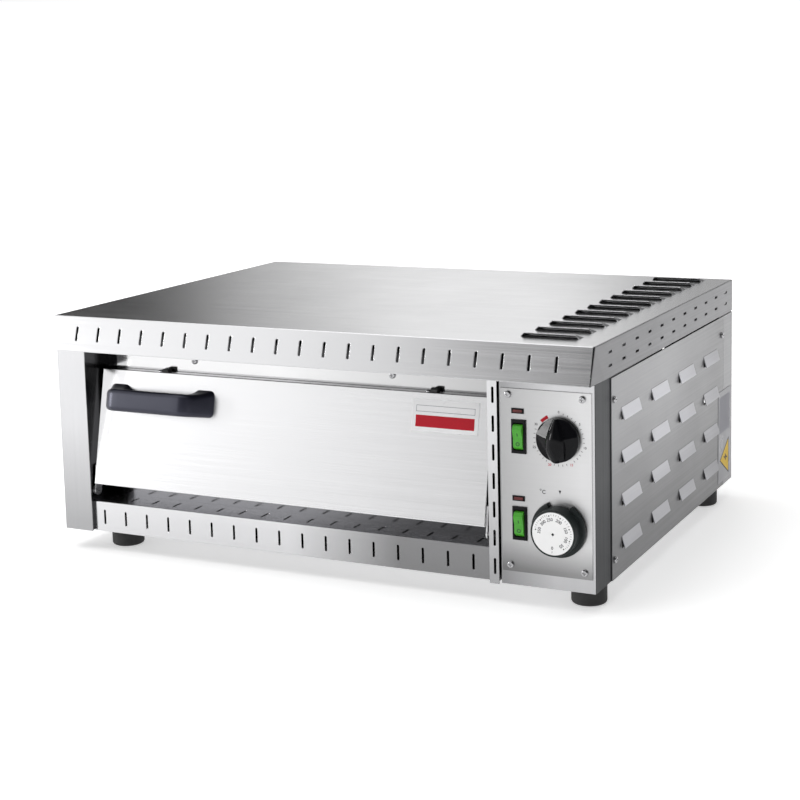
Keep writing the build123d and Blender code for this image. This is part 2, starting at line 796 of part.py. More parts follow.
def switch_bezel(z):
    """Switch body with its black frame, hollow for the rocker, and three terminals behind."""
    frame = block(switch_x - 7.0, switch_x + 7.0, plate_front - 1.8, plate_front, z - 15.5, z + 15.5)
    frame = chamfer(frame.faces().sort_by(Axis.Y)[0].edges(), 0.6)
    body = block(switch_x - 5.8, switch_x + 5.8, plate_front, 22, z - 13.9, z + 13.9)
    well = block(switch_x - 4.7, switch_x + 4.7, plate_front - 3, 11, z - 12.5, z + 12.5)
    pin_holes = rod_x(switch_x - rocker_pin_reach - running_gap, switch_x + rocker_pin_reach + running_gap,
                      rocker_pivot_y, z, rocker_pin_radius + running_gap)
    switch = frame + body - well - pin_holes
    for dz in (-8.0, 0.0, 8.0):
        switch += block(switch_x - 2.4, switch_x + 2.4, 22, 30, z + dz - 0.4, z + dz + 0.4)
    return switch


def rocker(z):
    """Rocker key with a pin on each side, tipped to its off position with its upper end out."""
    half_outline = [(-3.7, 0.0), (-4.8, 7.2), (-4.5, 8.4), (-2.2, 11.3), (1.6, 11.4), (5.4, 3.0)]
    lower_half = [(y, -dz) for y, dz in reversed(half_outline[1:])]
    key = outline_x([(y - rocker_pivot_y, dz) for y, dz in half_outline + lower_half], -4.4, 4.4)
    key += rod_x(-rocker_pin_reach, rocker_pin_reach, 0, 0, rocker_pin_radius)
    return Pos(switch_x, rocker_pivot_y, z) * Rot(rocker_tilt, 0, 0) * key


def lamp_bodies():
    """Indicator housings behind the control plate, each with a thin frame in front."""
    bodies = []
    for z in lamp_heights.values():
        frame = block(lamp_x - 5.9, lamp_x + 5.9, plate_front - 0.8, plate_front, z - 2.4, z + 2.4)
        body = block(lamp_x - 4.9, lamp_x + 4.9, plate_front, 14, z - 1.8, z + 1.8)
        seat = block(lamp_x - 4.4, lamp_x + 4.4, plate_front - 2, plate_front + 0.6, z - 1.4, z + 1.4)
        bodies.append(frame + body - seat)
    return Compound(children=bodies)


def lamp_lens(z):
    """Red window of an indicator."""
    lens = block(lamp_x - 4.4, lamp_x + 4.4, plate_front - 1.3, plate_front + 0.6, z - 1.4, z + 1.4)
    return fillet(lens.faces().sort_by(Axis.Y)[0].edges(), 0.4)


def spindle_body(x, z, width, height, length):
    """Case of a rotary control with a threaded bush through the panel and a bore for its shaft."""
    case = block(x - width / 2, x + width / 2, front + sheet, length, z - height / 2, z + height / 2)
    case = chamfer(case.edges().filter_by(Axis.Y), 2)
    bush = rod_y(x, plate_front - 0.8, front + sheet + 1, z, bush_radius)
    tabs = block(x - 10, x - 5, length, length + 8, z - 0.4, z + 0.4)
    tabs += block(x + 5, x + 10, length, length + 8, z - 0.4, z + 0.4)
    return case + bush + tabs - rod_y(x, plate_front - 2, 14, z, shaft_radius + running_gap)


def spindle(x, z, tip):
    """Shaft from a knob into the bore of its control."""
    return rod_y(x, tip, 13.5, z, shaft_radius)


timer_radius = 21.0
timer_front = -16.6
timer_crown = -11.6             # where the facets meet the grip
facet_slope = 0.34              # fall of the facets towards the rim
facet_tilt = 0.13               # fall of the facets towards the top and bottom
grip_bow = 34.0                 # radius of the grip's front, seen from the side
grip_outline = [(-2.6, 22), (2.6, 22), (6.0, 8), (7.6, -2), (7.8, -10), (6.6, -22),
                (-6.6, -22), (-7.8, -10), (-7.6, -2), (-6.0, 8)]


def timer_knob():
    """Round knob with a raised grip that narrows to its pointer, and two facets on each side of it."""
    back = plate_front - 1.2
    base = rod_y(timer_x, timer_crown, back, timer_z, timer_radius)
    for side in (-1, 1):
        for level in (-1, 1):
            origin = (timer_x + side * 6.5, timer_crown, timer_z + 2.5)
            plane = Plane(origin=origin, z_dir=(facet_slope * side, -1, facet_tilt * level))
            base -= plane * Box(90, 90, 30, align=(Align.CENTER, Align.CENTER, Align.MIN))
    grip = outline_y([(timer_x + dx, timer_z + dz) for dx, dz in grip_outline], timer_front, back)
    grip &= rod_y(timer_x, timer_front, back, timer_z, timer_radius)
    grip &= rod_x(timer_x - 30, timer_x + 30, timer_front + grip_bow, timer_z, grip_bow)
    knob = base + grip
    return knob - rod_y(timer_x, timer_front + 3, 0, timer_z, shaft_radius)


thermostat_skirt = 25.5
thermostat_radius = 21.3
thermostat_front = -17.2
dial_radius = 19.4


def thermostat_knob():
    """Drum knob with a notched skirt behind and a recess for its dial in front."""
    back = plate_front - 1.2
    skirt = rod_y(thermostat_x, back - 3.4, back, thermostat_z, thermostat_skirt)
    skirt = fillet(skirt.edges().sort_by(Axis.Y)[0], 1.2)
    reach = thermostat_skirt + 6
    notch = [(0.0, 0.0)] + [(reach * math.sin(math.radians(a)), reach * math.cos(math.radians(a)))
                            for a in (-24, -6, 12, 30)]
    skirt -= outline_y([(thermostat_x + dx, thermostat_z + dz) for dx, dz in notch], back - 5, back + 1)
    drum = rod_y(thermostat_x, thermostat_front, back, thermostat_z, thermostat_radius)
    drum = fillet(drum.edges().sort_by(Axis.Y)[0], 0.8)
    knob = skirt + drum
    knob -= rod_y(thermostat_x, thermostat_front - 1, thermostat_front + 0.8, thermostat_z, dial_radius)
    return knob - rod_y(thermostat_x, thermostat_front + 3, 0, thermostat_z, shaft_radius)


def thermostat_dial():
    """Printed disc in the front of the thermostat knob."""
    return rod_y(thermostat_x, thermostat_front, thermostat_front + 0.8, thermostat_z, dial_radius)


def thermostat_probe():
    """Capillary from the thermostat to its bulb under the chamber ceiling."""
    start = (thermostat_x, 34.0, thermostat_z + 8)
    points = [start, (thermostat_x, probe_y, thermostat_z + 8), (thermostat_x, probe_y, probe_z),
              (130.0, probe_y, probe_z)]
    path = FilletPolyline(*points, radius=14)
    tube = sweep(Plane(origin=start, z_dir=(0, 1, 0)) * Circle(1.2), path=path)
    return tube + rod_x(50.0, 130.0, probe_y, probe_z, 3.0)


def terminal_block():
    """Mains terminal block on the base, with its screw wells."""
    block_body = block(215, 265, 396, 422, floor + sheet, floor + sheet + 20)
    block_body = chamfer(block_body.edges().group_by(Axis.Z)[-1], 1.5)
    for x in row(222, 4, 12):
        block_body -= rod_z(x, 404, floor + 8, floor + 30, 2.5)
        block_body -= rod_z(x, 414, floor + 8, floor + 30, 2.5)
    return block_body


# ---- Assembly ------------------------------------------------------------------------------------

def all_parts():
    """Every sub-part under its node name."""
    parts = {
        "top_cover": top_cover(),
        "left_casing": left_casing(),
        "slotted_upright": slotted_upright(),
        "front_rail": front_rail(),
        "base_pan": base_pan(),
        "chamber_front": chamber_front(),
        "lintel_screws": lintel_screws(),
        "compartment_wall": compartment_wall(),
        "control_housing": control_housing(),
        "control_plate": control_plate(),
        "control_plate_screws": control_plate_screws(),
        "side_panel": side_panel(),
        "side_panel_screws": side_panel_screws(),
        "rear_post": rear_post(),
        "back_panel": back_panel(),
        "rear_screws": rear_screws(),
        "cable_gland": cable_gland(),
        "rating_plate": rating_plate(),
        "foot_screws": foot_screws(),
        "chamber_shell": chamber_shell(),
        "lower_element": heating_element(lower_element_z),
        "upper_element": heating_element(upper_element_z),
        "stone_deck": stone_deck(),
        "stone_supports": stone_supports(),
        "element_supports": element_supports(),
        "insulation_wrap": insulation_wrap(),
        "insulation_floor": insulation_floor(),
        "insulation_rear": insulation_rear(),
        "door_outer_skin": door_outer_skin(),
        "door_inner_skin": door_inner_skin(),
        "door_insulation": door_insulation(),
        "hinge_ears": hinge_ears(),
        "hinge_pins": hinge_pins(),
        "hinge_bushes": hinge_bushes(),
        "door_handle": door_handle(),
        "door_screws": door_screws(),
        "door_bumpers": door_bumpers(),
        "badge_plate": badge_plate(),
        "lamp_bodies": lamp_bodies(),
        "timer_body": spindle_body(timer_x, timer_z, 40, 40, 36),
        "timer_shaft": spindle(timer_x, timer_z, timer_front + 3),
        "timer_knob": timer_knob(),
        "thermostat_body": spindle_body(thermostat_x, thermostat_z, 36, 34, 34),
        "thermostat_shaft": spindle(thermostat_x, thermostat_z, thermostat_front + 3),
        "thermostat_knob": thermostat_knob(),
        "thermostat_dial": thermostat_dial(),
        "thermostat_probe": thermostat_probe(),
        "terminal_block": terminal_block(),
    }
    for name, place in zip(foot_names, foot_places):
        parts[name] = foot(*place)
    for level, z in switch_heights.items():
        parts[level + "_switch_bezel"] = switch_bezel(z)
        parts[level + "_rocker"] = rocker(z)
    for level, z in lamp_heights.items():
        parts[level + "_lamp_lens"] = lamp_lens(z)
    return parts


def main():
    """Centre the oven over its origin, on the worktop, and write each sub-part."""
    parts = all_parts()
    boxes = [shape.bounding_box() for shape in parts.values()]
    middle_x = (min(b.min.X for b in boxes) + max(b.max.X for b in boxes)) / 2
    middle_y = (min(b.min.Y for b in boxes) + max(b.max.Y for b in boxes)) / 2
    os.makedirs("parts", exist_ok=True)
    for name, shape in parts.items():
        export_step(Pos(-middle_x, -middle_y, 0) * shape, f"parts/{name}.step")
    print("sub-parts", len(parts), "moved by", round(-middle_x, 3), round(-middle_y, 3))


main()
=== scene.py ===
import bmesh
import bpy
import json
import math
from mathutils import Matrix, Vector


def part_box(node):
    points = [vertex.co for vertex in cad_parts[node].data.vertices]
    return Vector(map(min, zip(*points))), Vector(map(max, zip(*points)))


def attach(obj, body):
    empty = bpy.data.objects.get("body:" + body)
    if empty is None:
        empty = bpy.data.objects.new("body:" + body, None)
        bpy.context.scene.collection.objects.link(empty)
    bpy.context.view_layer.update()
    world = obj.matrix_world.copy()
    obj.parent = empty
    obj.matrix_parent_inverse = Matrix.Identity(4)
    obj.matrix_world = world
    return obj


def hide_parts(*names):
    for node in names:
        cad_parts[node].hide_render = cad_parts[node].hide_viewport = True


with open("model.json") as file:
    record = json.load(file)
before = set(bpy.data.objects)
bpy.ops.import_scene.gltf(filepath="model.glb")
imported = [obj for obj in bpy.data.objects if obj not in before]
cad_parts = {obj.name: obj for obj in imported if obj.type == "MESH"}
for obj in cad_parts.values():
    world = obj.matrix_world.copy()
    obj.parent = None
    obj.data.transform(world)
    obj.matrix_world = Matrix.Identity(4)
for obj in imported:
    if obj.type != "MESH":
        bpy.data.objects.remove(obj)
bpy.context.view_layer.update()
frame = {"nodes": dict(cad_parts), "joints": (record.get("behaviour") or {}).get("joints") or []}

MM = 0.001
nodes = frame["nodes"]


# ---- Places, taken from the frame ----------------------------------------------------------------

def centre(node):
    """Middle of a CAD node's box."""
    low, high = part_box(node)
    return (low + high) / 2


hood_lean = math.atan2(10.3, 34)         # from upright, of the hood's front
door_lean = math.atan2(25.0, 115.9)      # from upright, of the door's outer face
louvre_rise = 3.8 * MM                   # height of the hood's louvres above its top sheet
plate_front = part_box("control_plate")[0].y
timer_centre = centre("timer_shaft")
thermostat_centre = centre("thermostat_shaft")
dial_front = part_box("thermostat_dial")[0].y
pivots = {joint["name"]: Vector(joint["pos_m"]) for joint in frame["joints"]}
door_low, door_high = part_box("door_outer_skin")
FACING_FRONT = Matrix.Rotation(math.radians(90), 4, "X")


def on_front(x, y, z):
    """Frame on a face that looks along -Y: its X to the right, its Y up and its Z outwards."""
    return Matrix.Translation((x, y, z)) @ FACING_FRONT


def on_door(x, up):
    """The same on the door's leaning face, a distance up from its bottom edge."""
    leaning = on_front(x, door_low.y, door_low.z) @ Matrix.Rotation(-door_lean, 4, "X")
    return leaning @ Matrix.Translation((0, up, 0))


# ---- Nodes ---------------------------------------------------------------------------------------

class Nodes:
    """A node tree with short ways to add to it."""

    def __init__(self, tree):
        self.tree = tree

    def node(self, kind, inputs=(), **settings):
        """New node with its settings, and inputs that are values or other nodes' outputs."""
        made = self.tree.nodes.new(kind)
        for key, value in settings.items():
            setattr(made, key, value)
        for key, value in dict(inputs).items():
            if isinstance(value, bpy.types.NodeSocket):
                self.tree.links.new(value, made.inputs[key])
            else:
                made.inputs[key].default_value = value
        return made

    def math(self, operation, a, b):
        """Outcome of an operation on two values or outputs."""
        return self.node("ShaderNodeMath", {0: a, 1: b}, operation=operation).outputs[0]


# ---- Camera --------------------------------------------------------------------------------------

def add_camera():
    """Long lens, a little above the oven and to its right."""
    place = 0.78202, -1.59346, 0.50474
    yaw, pitch, roll = (math.radians(a) for a in (26.26, -8.42, -1.36))
    forward = Vector((-math.sin(yaw) * math.cos(pitch), math.cos(yaw) * math.cos(pitch), math.sin(pitch)))
    level_right = Vector((math.cos(yaw), math.sin(yaw), 0))
    level_up = level_right.cross(forward)
    right = level_right * math.cos(roll) + level_up * math.sin(roll)
    up = level_up * math.cos(roll) - level_right * math.sin(roll)
    turn = Matrix((right, up, -forward)).transposed().to_4x4()
    data = bpy.data.cameras.new("camera")
    data.lens = 76.48
    data.sensor_width = 36
    data.shift_x = -0.0046
    data.shift_y = -0.1277
    camera = bpy.data.objects.new("camera", data)
    camera.matrix_world = Matrix.Translation(place) @ turn
    bpy.context.scene.collection.objects.link(camera)
    bpy.context.scene.camera = camera


# ---- Studio --------------------------------------------------------------------------------------

def add_light(name, place, aim, width, height, power, glints_only=False):
    """Soft box that faces a point and that only shows in reflections if it gives glints only."""
    data = bpy.data.lights.new(name, "AREA")
    data.shape = "RECTANGLE"
    data.size = width
    data.size_y = height
    data.energy = power
    light = bpy.data.objects.new(name, data)
    light.location = place
    light.rotation_euler = (Vector(aim) - Vector(place)).to_track_quat("-Z", "Y").to_euler()
    light.visible_camera = False
    light.visible_diffuse = not glints_only
    bpy.context.scene.collection.objects.link(light)


def add_floor():
    """White floor that brightens away from the oven."""
    bpy.ops.mesh.primitive_circle_add(vertices=128, radius=60, fill_type="NGON")
    floor = bpy.context.object
    floor.name = "floor"
    white = Graph("floor_white", (0.9, 0.9, 0.9), 0.9)
    near, far = 0.3, 1.2
    dim, bright = 0.48, 0.85
    reach = white.node("ShaderNodeVectorMath", {0: white.coords()}, operation="LENGTH").outputs["Value"]
    white.set("Emission Color", (1, 1, 1, 1))
    white.feed("Emission Strength", white.remap(reach, near, far, dim, bright))
    floor.data.materials.append(white.material)


def add_lights():
    """Soft box overhead, a strip for glints, and a card that brightens the door beside the left post."""
    add_light("overhead_box", (-0.5, -0.2, 2.2), (-0.1, 0, 0), 2.6, 2.6, 36)
    card = Vector((door_low.x - 1.5 * MM, door_low.y + 11 * MM, (door_low.z + door_high.z) / 2))
    add_light("door_kicker", card, card + Vector((1, 0, 0)), 28 * MM, door_high.z - door_low.z, 0.0115,
              glints_only=True)
    add_light("left_strip", (-1.36, -1.05, 0.34), (0.25, -0.2, 0.16), 0.2, 0.5, 10, glints_only=True)


class Sky(Nodes):
    """The studio as soft-edged bright and dark fields, by heading and height above the horizon."""

    def __init__(self, base):
        world = bpy.data.worlds.new("studio")
        bpy.context.scene.world = world
        world.use_nodes = True
        super().__init__(world.node_tree)
        direction = self.node("ShaderNodeTexCoord").outputs["Generated"]
        split = self.node("ShaderNodeSeparateXYZ", {0: direction})
        turn = self.math("ARCTAN2", split.outputs["X"], split.outputs["Y"])
        rise = self.math("ARCSINE", split.outputs["Z"], 0.0)
        self.heading = self.math("MULTIPLY", turn, 180 / math.pi)
        self.height = self.math("MULTIPLY", rise, 180 / math.pi)
        self.level = base

    def step(self, value, start, end, first, last):
        """From the first value before start to the last one after end, smoothly."""
        return self.node("ShaderNodeMapRange", {0: value, 1: start, 2: end, 3: first, 4: last},
                         interpolation_type="SMOOTHSTEP").outputs[0]

    def field(self, strength, headings, heights):
        """Blend towards a strength within headings and heights, each (start, full, full, end) in degrees."""
        inside = 1.0
        for value, (start, full, last, end) in ((self.heading, headings), (self.height, heights)):
            inside = self.math("MULTIPLY", inside, self.step(value, start, full, 0.0, 1.0))
            inside = self.math("MULTIPLY", inside, self.step(value, last, end, 1.0, 0.0))
        change = self.math("MULTIPLY", inside, self.math("SUBTRACT", strength, self.level))
        self.level = self.math("ADD", self.level, change)

    def finish(self):
        """Light the world with the fields."""
        background = self.tree.nodes["Background"]
        background.inputs["Color"].default_value = (1, 1, 1, 1)
        self.tree.links.new(self.level, background.inputs["Strength"])


def add_sky():
    """Dark room with a bright screen behind, a large soft box at the front left and a white horizon."""
    left, right = -181, 181
    sky = Sky(0.45)
    sky.field(0.06, (-90, -60, -36, -31), (2, 4, 40, 70))          # dark behind, to the left
    sky.field(1.1, (-34, -25, -22, -16), (2, 4, 40, 60))           # screen behind
    sky.field(0.05, (0, 12, 110, 130), (0, 1, 75, 88))             # dark behind and to the right
    sky.field(1.3, (4, 10, 32, 44), (17, 22, 60, 75))              # box high up in that dark
    sky.field(0.12, (left, -180, -158, -150), (0, 2, 50, 70))      # dark in front
    sky.field(0.12, (110, 140, 180, right), (0, 2, 50, 70))        # and on round to the right
    sky.field(0.75, (-168, -158, -150, -140), (2, 6, 14, 22))      # low dim end of the soft box
    sky.field(1.5, (-160, -146, -110, -80), (2, 6, 30, 50))        # soft box at the front left
    sky.field(1.05, (left, -180, 180, right), (-91, -90, 1.6, 2.2))        # white up to the horizon
    sky.finish()


# ---- Materials -----------------------------------------------------------------------------------

bright_steel = 0.6, 0.6, 0.61
dim_steel = 0.45, 0.45, 0.46


class Graph(Nodes):
    """A Principled material and the few nodes that this scene builds on."""

    def __init__(self, name, color, roughness, metallic=0.0):
        self.material = bpy.data.materials.new(name)
        self.material.use_nodes = True
        self.material.diffuse_color = (*color, 1)
        super().__init__(self.material.node_tree)
        self.shader = self.tree.nodes["Principled BSDF"]
        self.color = color
        self.set("Base Color", (*color, 1))
        self.set("Roughness", roughness)
        self.set("Metallic", metallic)

    def set(self, socket, value):
        """Same value all over."""
        self.shader.inputs[socket].default_value = value

    def feed(self, socket, output):
        """Value that varies over the piece."""
        self.tree.links.new(output, self.shader.inputs[socket])

    def coords(self, scale=(1, 1, 1)):
        """Places on the piece in metres, times a scale."""
        place = self.node("ShaderNodeTexCoord").outputs["Object"]
        return self.node("ShaderNodeMapping", {"Vector": place, "Scale": scale}).outputs[0]

    def noise(self, vector, scale, detail, rough=0.5):
        """Cloudy value about 0.5."""
        inputs = {"Vector": vector, "Scale": scale, "Detail": detail, "Roughness": rough}
        return self.node("ShaderNodeTexNoise", inputs).outputs[0]

    def remap(self, value, low, high, to_low, to_high):
        """Value from one range to another, held at its ends."""
        return self.node("ShaderNodeMapRange", {0: value, 1: low, 2: high, 3: to_low, 4: to_high}).outputs[0]

    def mix(self, factor, a, b):
        """Colour between a and b."""
        return self.node("ShaderNodeMix", {0: factor, 6: a, 7: b}, data_type="RGBA").outputs[2]

    def blend(self, factor, color, dark, light):
        """A colour between two brightnesses."""
        return self.mix(factor, (*(c * dark for c in color), 1), (*(c * light for c in color), 1))

    def shades(self, factor, dark, light):
        """The base colour between two brightnesses."""
        self.feed("Base Color", self.blend(factor, self.color, dark, light))

    def within(self, limits):
        """1 where the place lies beyond every limit, each a direction and a distance along it."""
        inside = 1.0
        for direction, distance in limits:
            beyond = self.math("GREATER_THAN", self.along(direction), distance)
            inside = self.math("MULTIPLY", inside, beyond)
        return inside

    def along(self, direction):
        """How far the place lies along a direction."""
        place = self.node("ShaderNodeTexCoord").outputs["Object"]
        product = self.node("ShaderNodeVectorMath", {0: place, 1: direction}, operation="DOT_PRODUCT")
        return product.outputs["Value"]

    def relief(self, height, depth, edge=0.0):
        """Bump of that depth in metres, over edges eased by that radius."""
        inputs = {"Height": height, "Distance": depth, "Strength": 1.0}
        if edge:
            inputs["Normal"] = self.node("ShaderNodeBevel", {"Radius": edge}, samples=4).outputs[0]
        self.feed("Normal", self.node("ShaderNodeBump", inputs).outputs[0])


def sideways(graph):
    """1 where the surface faces along X, otherwise 0."""
    normal = graph.node("ShaderNodeNewGeometry").outputs["Normal"]
    across = graph.node("ShaderNodeSeparateXYZ", {0: normal}).outputs[0]
    return graph.math("GREATER_THAN", graph.math("ABSOLUTE", across, 0.0), 0.7)


def steel(name, color, roughness, grain="X", anisotropy=0.5, side=None, inside=(), shade_fades=(), edge=0.5 * MM):
    """Brushed stainless sheet. Grain "X" runs along X, and along Y on faces that face sideways; "Z" runs up.

    side is the colour and roughness of faces that face sideways, the colour a painted shade. inside lists
    zones of painted shade and painted light, each a brightness and its limits. shade_fades lists directions
    of painted shade that the sheet darkens along, each with the distances where that starts and ends and what
    is left of the brightness there.
    """
    graph = Graph(name, color, roughness, metallic=1.0)
    fine = 900
    long = 5
    turned = sideways(graph)
    if grain == "Z":
        lines = graph.noise(graph.coords((fine, fine, long)), 1.0, 3.0)
        tangent = graph.node("ShaderNodeCombineXYZ", {0: 1.0, 1: 1.0, 2: 0.0}).outputs[0]
    else:
        front = graph.noise(graph.coords((long, fine, fine)), 1.0, 3.0)
        flank = graph.noise(graph.coords((fine, long, fine)), 1.0, 3.0)
        lines = graph.node("ShaderNodeMix", {0: turned, 2: front, 3: flank}, data_type="FLOAT").outputs[0]
        across = graph.math("SUBTRACT", 1.0, turned)
        tangent = graph.node("ShaderNodeCombineXYZ", {0: 0.0, 1: across, 2: 1.0}).outputs[0]
    graph.set("Anisotropic", anisotropy)
    graph.feed("Tangent", tangent)
    smudge = graph.noise(graph.coords(), 7.0, 4.0, 0.6)
    spread = graph.remap(lines, 0.3, 0.7, -0.04, 0.04)
    wipe = graph.remap(smudge, 0.35, 0.7, -0.025, 0.035)
    uneven = graph.math("ADD", spread, wipe)
    shade = graph.math("MULTIPLY", lines, graph.remap(smudge, 0.3, 0.6, 0.9, 1.0))
    tone = graph.blend(shade, color, 0.94, 1.04)
    base_roughness = roughness
    # Painted shade: faces that face sideways take the darker side colour.
    if side:
        tone = graph.mix(turned, tone, graph.blend(shade, side[0], 0.94, 1.04))
        base_roughness = graph.remap(turned, 0.0, 1.0, roughness, side[1])
    # Painted shade and painted light: each inside zone takes its own brightness.
    for brightness, limits in inside:
        tone = graph.mix(graph.within(limits), tone, (brightness, brightness, brightness * 1.05, 1))
    # Painted shade: the tone darkens along each of these directions.
    for direction, start, end, left in shade_fades:
        shade_factor = graph.remap(graph.along(direction), start, end, 1.0, left)
        tone = graph.node("ShaderNodeVectorMath", {0: tone, "Scale": shade_factor}, operation="SCALE").outputs[0]
    graph.feed("Base Color", tone)
    graph.feed("Roughness", graph.math("ADD", uneven, base_roughness))
    graph.relief(lines, 0.003 * MM, edge)
    return graph.material


def polished(name, color, roughness):
    """Turned or plated small metal, faintly scuffed."""
    graph = Graph(name, color, roughness, metallic=1.0)
    scuffs = graph.noise(graph.coords(), 900.0, 4.0, 0.6)
    graph.feed("Roughness", graph.remap(scuffs, 0.3, 0.75, roughness - 0.06, roughness + 0.12))
    graph.shades(graph.noise(graph.coords(), 300.0, 2.0), 0.85, 1.05)
    graph.relief(scuffs, 0.01 * MM, 0.2 * MM)
    return graph.material


def heated(name, color, roughness):
    """Metal that heat has darkened and tinted in patches."""
    graph = Graph(name, color, roughness, metallic=1.0)
    patches = graph.noise(graph.coords(), 14.0, 5.0, 0.6)
    straw = (color[0] * 0.95, color[1] * 0.78, color[2] * 0.55, 1)
    graph.feed("Base Color", graph.mix(graph.remap(patches, 0.35, 0.7, 0.0, 1.0), (*color, 1), straw))
    graph.feed("Roughness", graph.remap(patches, 0.3, 0.7, roughness - 0.08, roughness + 0.12))
    graph.relief(graph.noise(graph.coords(), 700.0, 3.0), 0.02 * MM, 0.4 * MM)
    return graph.material


def plastic(name, color, roughness, specular, grain=1800.0, depth=0.01 * MM, tint=(1, 1, 1)):
    """Moulded plastic with a fine spark-eroded grain, worn a little smoother in patches."""
    graph = Graph(name, color, roughness)
    graph.set("Specular IOR Level", specular)
    graph.set("Specular Tint", (*tint, 1))
    texture = graph.noise(graph.coords(), grain, 2.0)
    worn = graph.noise(graph.coords(), 60.0, 3.0)
    graph.feed("Roughness", graph.remap(worn, 0.3, 0.7, roughness - 0.05, roughness + 0.05))
    graph.shades(texture, 0.85, 1.15)
    graph.relief(texture, depth, 0.4 * MM)
    return graph.material


def rubber(name):
    """Black rubber, dusty in patches."""
    black = 0.018, 0.018, 0.019, 1
    dusty = 0.075, 0.073, 0.07, 1
    graph = Graph(name, (0.022, 0.022, 0.024), 0.72)
    dust = graph.noise(graph.coords(), 90.0, 5.0, 0.65)
    graph.feed("Base Color", graph.mix(graph.remap(dust, 0.4, 0.75, 0.0, 0.35), black, dusty))
    graph.feed("Roughness", graph.remap(dust, 0.3, 0.7, 0.6, 0.85))
    graph.relief(graph.noise(graph.coords(), 1500.0, 3.0), 0.03 * MM, 0.6 * MM)
    return graph.material


def fired_stone(name):
    """Fired refractory: sandy speckle, pores and a few baked-on stains."""
    graph = Graph(name, (0.62, 0.54, 0.43), 0.9)
    speckle = graph.noise(graph.coords(), 700.0, 4.0, 0.7)
    stain = graph.noise(graph.coords(), 16.0, 6.0, 0.65)
    grains = graph.remap(speckle, 0.35, 0.65, 0.0, 1.0)
    sandy = graph.mix(grains, (0.46, 0.39, 0.3, 1), (0.72, 0.65, 0.54, 1))
    baked_on = graph.remap(stain, 0.55, 0.75, 0.0, 0.7)
    graph.feed("Base Color", graph.mix(baked_on, sandy, (0.16, 0.11, 0.07, 1)))
    graph.feed("Roughness", graph.remap(stain, 0.3, 0.7, 0.95, 0.75))
    graph.relief(speckle, 0.3 * MM, 0.8 * MM)
    return graph.material


def mineral_wool(name):
    """Matted fibres."""
    graph = Graph(name, (0.62, 0.56, 0.36), 1.0)
    swirl = graph.node("ShaderNodeTexNoise", {"Vector": graph.coords(), "Scale": 60.0}).outputs["Color"]
    swirl = graph.node("ShaderNodeVectorMath", {0: swirl, "Scale": 6.0}, operation="SCALE").outputs[0]
    stretched = graph.coords((900, 90, 900))
    bent = graph.node("ShaderNodeVectorMath", {0: stretched, 1: swirl}, operation="ADD")
    fibres = graph.noise(bent.outputs[0], 1.0, 4.0, 0.7)
    graph.shades(fibres, 0.5, 1.35)
    graph.set("Sheen Weight", 0.25)
    graph.relief(fibres, 1.2 * MM)
    return graph.material


def key_green(name):
    """Clear green rocker plastic with a faint painted glow."""
    green = 0.05, 0.3, 0.02
    graph = Graph(name, green, 0.3)
    cloud = graph.noise(graph.coords(), 160.0, 2.0)
    graph.shades(cloud, 0.85, 1.15)
    # Painted glow: the rocker gives off a faint light of its own.
    graph.feed("Emission Color", graph.mix(cloud, (*green, 1), (0.09, 0.4, 0.04, 1)))
    graph.set("Emission Strength", 0.15)
    graph.set("Specular IOR Level", 0.35)
    graph.set("Subsurface Weight", 0.15)
    graph.set("Subsurface Radius", (2 * MM, 4 * MM, MM))
    graph.relief(graph.noise(graph.coords(), 800.0, 2.0), 0.01 * MM, 0.5 * MM)
    return graph.material


def lens_red(name):
    """Dark red window over an unlit lamp."""
    graph = Graph(name, (0.17, 0.035, 0.035), 0.3)
    bulb = graph.noise(graph.coords((120, 120, 700)), 1.0, 2.0)
    behind = graph.remap(bulb, 0.4, 0.65, 0.0, 1.0)
    graph.feed("Base Color", graph.mix(behind, (0.05, 0.012, 0.012, 1), (0.15, 0.03, 0.03, 1)))
    graph.set("Specular IOR Level", 0.25)
    graph.relief(bulb, 0.1 * MM, 0.2 * MM)
    return graph.material


def printed(name, color):
    """Screen-printed ink, a little uneven."""
    roughness = 0.5
    graph = Graph(name, color, roughness)
    graph.set("Specular IOR Level", 0.15)
    uneven = graph.noise(graph.coords(), 1500.0, 2.0)
    graph.shades(uneven, 0.8, 1.2)
    graph.feed("Roughness", graph.remap(uneven, 0.3, 0.7, roughness - 0.08, roughness + 0.08))
    return graph.material


def label(name, color, roughness):
    """Smooth label film with a faint mottle."""
    graph = Graph(name, color, roughness)
    mottle = graph.noise(graph.coords(), 40.0, 3.0)
    graph.shades(mottle, 0.985, 1.01)
    graph.feed("Roughness", graph.remap(mottle, 0.3, 0.7, roughness - 0.05, roughness + 0.05))
    return graph.material


# ---- Finishes of the CAD nodes -------------------------------------------------------------------

def paint(material, *names):
    """Give CAD nodes a finish."""
    for name in names:
        node = nodes[name]
        node.data.materials.clear()
        node.data.materials.append(material)


def behind_fascia(distance):
    """Limit that far behind the hood's leaning front."""
    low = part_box("top_cover")[0]
    inwards = Vector((0, math.cos(hood_lean), -math.sin(hood_lean)))
    return inwards, low.dot(inwards) + distance


